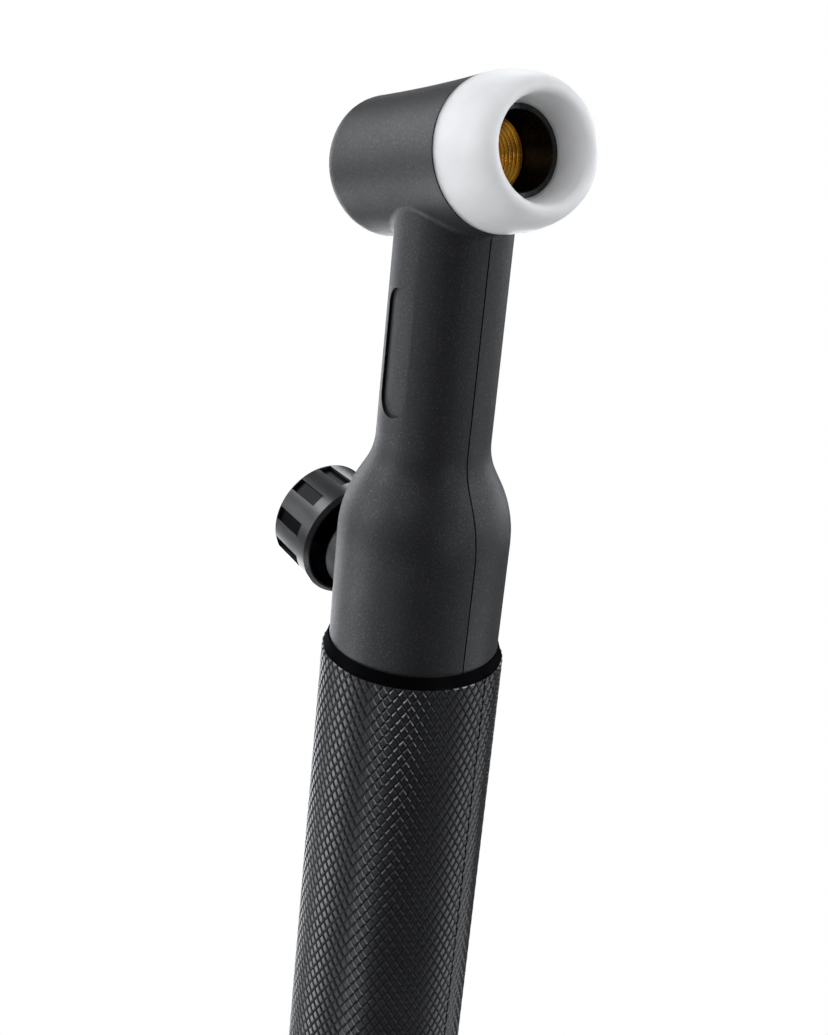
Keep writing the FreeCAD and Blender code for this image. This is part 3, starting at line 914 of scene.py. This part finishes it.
@dataclass(frozen=True)
class Softbox:
    """A soft rectangular lamp that looks at the torch from a direction given round the camera's own.

    The turn is 0 at the camera, positive to the camera's right; the lift is up from level.
    """

    name: str
    turn_deg: float
    lift_deg: float
    power: float
    width: float = 0.36
    height: float = 0.36
    distance: float = 0.9
    aim: Triple = (0, 0, 90 * MM)
    tint: Colour = (0.94, 0.965, 1.0)

    def build(self, camera_turn: float) -> None:
        """Adds the lamp.

        Args:
            camera_turn: The camera's own azimuth in radians.
        """
        way = outward(camera_turn + math.radians(self.turn_deg), math.radians(self.lift_deg))
        data = bpy.data.lights.new(self.name, "AREA")
        data.shape = "RECTANGLE"
        data.size, data.size_y = self.width, self.height
        data.energy = self.power
        data.color = self.tint
        lamp = bpy.data.objects.new(self.name, data)
        bpy.context.scene.collection.objects.link(lamp)
        lamp.location = Vector(self.aim) + way * self.distance
        lamp.rotation_euler = way.to_track_quat("Z", "Y").to_euler()
        lamp.visible_camera = False


TENT = (
    Softbox("left", -86, 10, 4.2, 0.42),
    Softbox("left_back", -138, -2, 2.5, 0.5),
    Softbox("left_low", -93, -36, 3.0),
    Softbox("left_low_back", -145, -30, 1.8),
    Softbox("left_high", -112, 36, 2.9),
    Softbox("front_left", -40, 28, 1.5),
    Softbox("front_left_low", -40, -48, 1.5),
    Softbox("front_right", 42, 2, 1.3),
    Softbox("right", 88, 10, 2.4, 0.42),
    Softbox("right_back", 132, -2, 2.0, 0.5),
    Softbox("right_low", 95, -35, 1.3),
    Softbox("right_high", 86, 38, 3.2),
    Softbox("back_low", -175, -35, 3.2),
    Softbox("back_high", 180, 26, 2.2),
    Softbox("top", 0, 86, 1.4),
)


@dataclass
class Studio:
    """Pale floor, white surroundings, soft lamps and the photograph's camera."""

    frame_px: tuple[int, int] = (828, 1035)
    focal_px: float = 2440.62
    azimuth_deg: float = 52.885
    elevation_deg: float = 24.379
    roll_deg: float = 5.647
    right_of_aim: float = 5.876 * MM
    above_aim: float = 44.168 * MM
    distance: float = 299.41 * MM
    clip_start: float = 5 * MM
    world_level: float = 0.05
    floor_grey: float = 0.8
    floor_mottle: float = 1.04
    mottle_size: float = 2 * MM
    floor_glow: float = 0.75
    floor_radius: float = 90 * MM
    floor_sides: int = 96
    floor_gap: float = 0.3 * MM
    handle_travel: float = 60 * MM

    def axes(self) -> tuple[Vector, Vector, Vector]:
        """The camera's right, up and backward directions."""
        turn, lift, roll = (math.radians(a) for a in (self.azimuth_deg, self.elevation_deg, self.roll_deg))
        back = outward(turn, lift)
        right = Vector((math.cos(turn), math.sin(turn), 0))
        up = back.cross(right)
        rolled_right = right * math.cos(roll) + up * math.sin(roll)
        rolled_up = up * math.cos(roll) - right * math.sin(roll)
        return rolled_right, rolled_up, back

    def camera(self) -> None:
        """Adds the camera that the photograph was fitted with."""
        right, up, back = self.axes()
        place = Line.HEAD.point + back * self.distance - right * self.right_of_aim - up * self.above_aim
        data = bpy.data.cameras.new("photo_camera")
        data.lens = self.focal_px / max(self.frame_px) * data.sensor_width
        data.clip_start = self.clip_start
        camera = bpy.data.objects.new("photo_camera", data)
        bpy.context.scene.collection.objects.link(camera)
        camera.matrix_world = Matrix.Translation(place) @ Matrix((right, up, back)).transposed().to_4x4()
        bpy.context.scene.camera = camera

    def world(self) -> None:
        """White to the camera, nearly dark as a light: the softboxes do the lighting."""
        world = bpy.data.worlds.new("studio_world")
        world.use_nodes = True
        bpy.context.scene.world = world
        shader = Shader("world_light", world.node_tree)
        seen = Wire(shader, shader.node("ShaderNodeLightPath").outputs["Is Camera Ray"])
        strength = self.world_level + seen * (1 - self.world_level)
        background = shader.node("ShaderNodeBackground", {}, {"Color": (1.0, 1.0, 1.0), "Strength": strength})
        shader.node("ShaderNodeOutputWorld", {}, {"Surface": background.outputs[0]})

    def floor(self) -> None:
        """Adds the round pale floor, just clear of the handle when it's slid right off the jacket."""
        start_clean()
        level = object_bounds()[0].z - self.handle_travel - self.floor_gap
        bpy.ops.mesh.primitive_circle_add(vertices=self.floor_sides, radius=self.floor_radius,
                                          fill_type="NGON", location=(0, 0, level))
        floor = begin_edit("studio_floor")
        bpy.ops.object.mode_set(mode="OBJECT")
        floor.data.materials.append(self.paper())
        floor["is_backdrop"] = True

    def paper(self) -> bpy.types.Material:
        """Makes the floor's pale paper, which glows to the camera alone."""
        shader = Shader("floor_paper")
        grey = self.floor_grey
        pale = grey * self.floor_mottle
        mottle = shader.noise(self.mottle_size, detail=2)
        tone = shader.mix(mottle, (grey, grey, grey), (pale, pale, pale))
        paper = shader.node("ShaderNodeBsdfDiffuse", {}, {"Color": tone})
        seen = Wire(shader, shader.node("ShaderNodeLightPath").outputs["Is Camera Ray"])
        glow = shader.node("ShaderNodeEmission", {}, {"Strength": seen * self.floor_glow})
        both = shader.node("ShaderNodeAddShader", {}, {0: paper.outputs[0], 1: glow.outputs[0]})
        shader.node("ShaderNodeOutputMaterial", {}, {"Surface": both.outputs[0]})
        return shader.material

    def lamps(self) -> None:
        """Adds the softboxes all round."""
        for softbox in TENT:
            softbox.build(math.radians(self.azimuth_deg))

    def build(self) -> None:
        """Sets up the studio."""
        bpy.context.scene.view_settings.view_transform = "Standard"
        self.world()
        self.floor()
        self.lamps()
        self.camera()


def main() -> None:
    """Loads the frame, dresses the torch and sets the studio."""
    logging.basicConfig(level=logging.INFO, format="%(message)s")
    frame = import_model()
    torch = Torch(frame["nodes"])
    torch.head()
    torch.valve()
    torch.tail()
    torch.handle()
    Studio().build()


if __name__ == "__main__":
    main()
